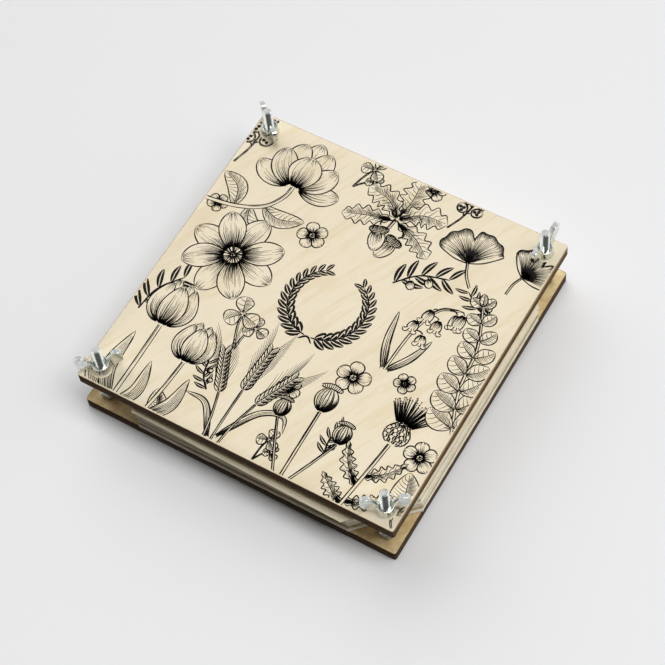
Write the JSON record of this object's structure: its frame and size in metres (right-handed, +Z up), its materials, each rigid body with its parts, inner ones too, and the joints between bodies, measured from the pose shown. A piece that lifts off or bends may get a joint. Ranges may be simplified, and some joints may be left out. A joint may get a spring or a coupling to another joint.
{
  "type": "flower press",
  "caption": "Square plywood flower press: wing nuts on corner bolts squeeze a stack of clipped-corner cards and blotting papers between the boards.",
  "frame": {"origin": "centre of the bottom board's underside, on the table", "axes": "+Z up along the bolts; +X along the near left edge of the picture towards its nearest corner; +Y completes the right-handed frame, up the printed face"},
  "size_m": [0.183, 0.187, 0.0502],
  "materials": {
    "plywood": "bare birch plywood, scorched laser-cut edges",
    "printed_plywood": "pale birch plywood with black line print, scorched laser-cut edges",
    "zinc_steel": "bright zinc plating",
    "card": "matte grey-cream board",
    "blotting_paper": "matte absorbent paper"
  },
  "bodies": {
    "base": {"bottom_board": "plywood", "bolt_front_left": "zinc_steel", "bolt_front_right": "zinc_steel", "bolt_back_right": "zinc_steel", "bolt_back_left": "zinc_steel", "hex_nut_front_left": "zinc_steel", "hex_nut_front_right": "zinc_steel", "hex_nut_back_right": "zinc_steel", "hex_nut_back_left": "zinc_steel"},
    "top_board": {"top_board": "printed_plywood"},
    "wing_nut_front_left": {"wing_nut_front_left": "zinc_steel"},
    "wing_nut_front_right": {"wing_nut_front_right": "zinc_steel"},
    "wing_nut_back_right": {"wing_nut_back_right": "zinc_steel"},
    "wing_nut_back_left": {"wing_nut_back_left": "zinc_steel"},
    "pressing_card_1": {"pressing_card_1": "card"},
    "blotting_paper_1": {"blotting_paper_1": "blotting_paper"},
    "blotting_paper_2": {"blotting_paper_2": "blotting_paper"},
    "pressing_card_2": {"pressing_card_2": "card"},
    "blotting_paper_3": {"blotting_paper_3": "blotting_paper"},
    "blotting_paper_4": {"blotting_paper_4": "blotting_paper"},
    "pressing_card_3": {"pressing_card_3": "card"},
    "blotting_paper_5": {"blotting_paper_5": "blotting_paper"},
    "blotting_paper_6": {"blotting_paper_6": "blotting_paper"},
    "pressing_card_4": {"pressing_card_4": "card"},
    "blotting_paper_7": {"blotting_paper_7": "blotting_paper"},
    "blotting_paper_8": {"blotting_paper_8": "blotting_paper"},
    "pressing_card_5": {"pressing_card_5": "card"}
  },
  "joints": [
    {"name": "top_board_lift", "type": "slide", "parent": "base", "child": "top_board", "axis": [0, 0, 1], "range_m": [0, 0.0168]},
    {"name": "wing_nut_front_left_turn", "type": "hinge", "parent": "top_board", "child": "wing_nut_front_left", "pos_m": [-0.081, -0.081, 0.0321], "axis": [0, 0, 1], "range_deg": [0, 7560]},
    {"name": "wing_nut_front_right_turn", "type": "hinge", "parent": "top_board", "child": "wing_nut_front_right", "pos_m": [0.081, -0.081, 0.0321], "axis": [0, 0, 1], "range_deg": [0, 7560]},
    {"name": "wing_nut_back_right_turn", "type": "hinge", "parent": "top_board", "child": "wing_nut_back_right", "pos_m": [0.081, 0.081, 0.0321], "axis": [0, 0, 1], "range_deg": [0, 7560]},
    {"name": "wing_nut_back_left_turn", "type": "hinge", "parent": "top_board", "child": "wing_nut_back_left", "pos_m": [-0.081, 0.081, 0.0321], "axis": [0, 0, 1], "range_deg": [0, 7560]},
    {"name": "pressing_card_1_lift", "type": "slide", "parent": "base", "child": "pressing_card_1", "axis": [0, 0, 1], "range_m": [0, 0.0012]},
    {"name": "blotting_paper_1_lift", "type": "slide", "parent": "base", "child": "blotting_paper_1", "axis": [0, 0, 1], "range_m": [0, 0.0024]},
    {"name": "blotting_paper_2_lift", "type": "slide", "parent": "base", "child": "blotting_paper_2", "axis": [0, 0, 1], "range_m": [0, 0.0036]},
    {"name": "pressing_card_2_lift", "type": "slide", "parent": "base", "child": "pressing_card_2", "axis": [0, 0, 1], "range_m": [0, 0.0048]},
    {"name": "blotting_paper_3_lift", "type": "slide", "parent": "base", "child": "blotting_paper_3", "axis": [0, 0, 1], "range_m": [0, 0.006]},
    {"name": "blotting_paper_4_lift", "type": "slide", "parent": "base", "child": "blotting_paper_4", "axis": [0, 0, 1], "range_m": [0, 0.0072]},
    {"name": "pressing_card_3_lift", "type": "slide", "parent": "base", "child": "pressing_card_3", "axis": [0, 0, 1], "range_m": [0, 0.0084]},
    {"name": "blotting_paper_5_lift", "type": "slide", "parent": "base", "child": "blotting_paper_5", "axis": [0, 0, 1], "range_m": [0, 0.0096]},
    {"name": "blotting_paper_6_lift", "type": "slide", "parent": "base", "child": "blotting_paper_6", "axis": [0, 0, 1], "range_m": [0, 0.0108]},
    {"name": "pressing_card_4_lift", "type": "slide", "parent": "base", "child": "pressing_card_4", "axis": [0, 0, 1], "range_m": [0, 0.012]},
    {"name": "blotting_paper_7_lift", "type": "slide", "parent": "base", "child": "blotting_paper_7", "axis": [0, 0, 1], "range_m": [0, 0.0132]},
    {"name": "blotting_paper_8_lift", "type": "slide", "parent": "base", "child": "blotting_paper_8", "axis": [0, 0, 1], "range_m": [0, 0.0144]},
    {"name": "pressing_card_5_lift", "type": "slide", "parent": "base", "child": "pressing_card_5", "axis": [0, 0, 1], "range_m": [0, 0.0156]}
  ],
  "couplings": [
    {"joint": "wing_nut_front_left_turn", "follows": "top_board_lift", "rad_per_m": 7854},
    {"joint": "wing_nut_front_right_turn", "follows": "top_board_lift", "rad_per_m": 7854},
    {"joint": "wing_nut_back_right_turn", "follows": "top_board_lift", "rad_per_m": 7854},
    {"joint": "wing_nut_back_left_turn", "follows": "top_board_lift", "rad_per_m": 7854},
    {"joint": "pressing_card_1_lift", "follows": "top_board_lift", "ratio": 0.071429},
    {"joint": "blotting_paper_1_lift", "follows": "top_board_lift", "ratio": 0.14286},
    {"joint": "blotting_paper_2_lift", "follows": "top_board_lift", "ratio": 0.21429},
    {"joint": "pressing_card_2_lift", "follows": "top_board_lift", "ratio": 0.28571},
    {"joint": "blotting_paper_3_lift", "follows": "top_board_lift", "ratio": 0.35714},
    {"joint": "blotting_paper_4_lift", "follows": "top_board_lift", "ratio": 0.42857},
    {"joint": "pressing_card_3_lift", "follows": "top_board_lift", "ratio": 0.5},
    {"joint": "blotting_paper_5_lift", "follows": "top_board_lift", "ratio": 0.57143},
    {"joint": "blotting_paper_6_lift", "follows": "top_board_lift", "ratio": 0.64286},
    {"joint": "pressing_card_4_lift", "follows": "top_board_lift", "ratio": 0.71429},
    {"joint": "blotting_paper_7_lift", "follows": "top_board_lift", "ratio": 0.78571},
    {"joint": "blotting_paper_8_lift", "follows": "top_board_lift", "ratio": 0.85714},
    {"joint": "pressing_card_5_lift", "follows": "top_board_lift", "ratio": 0.92857}
  ]
}
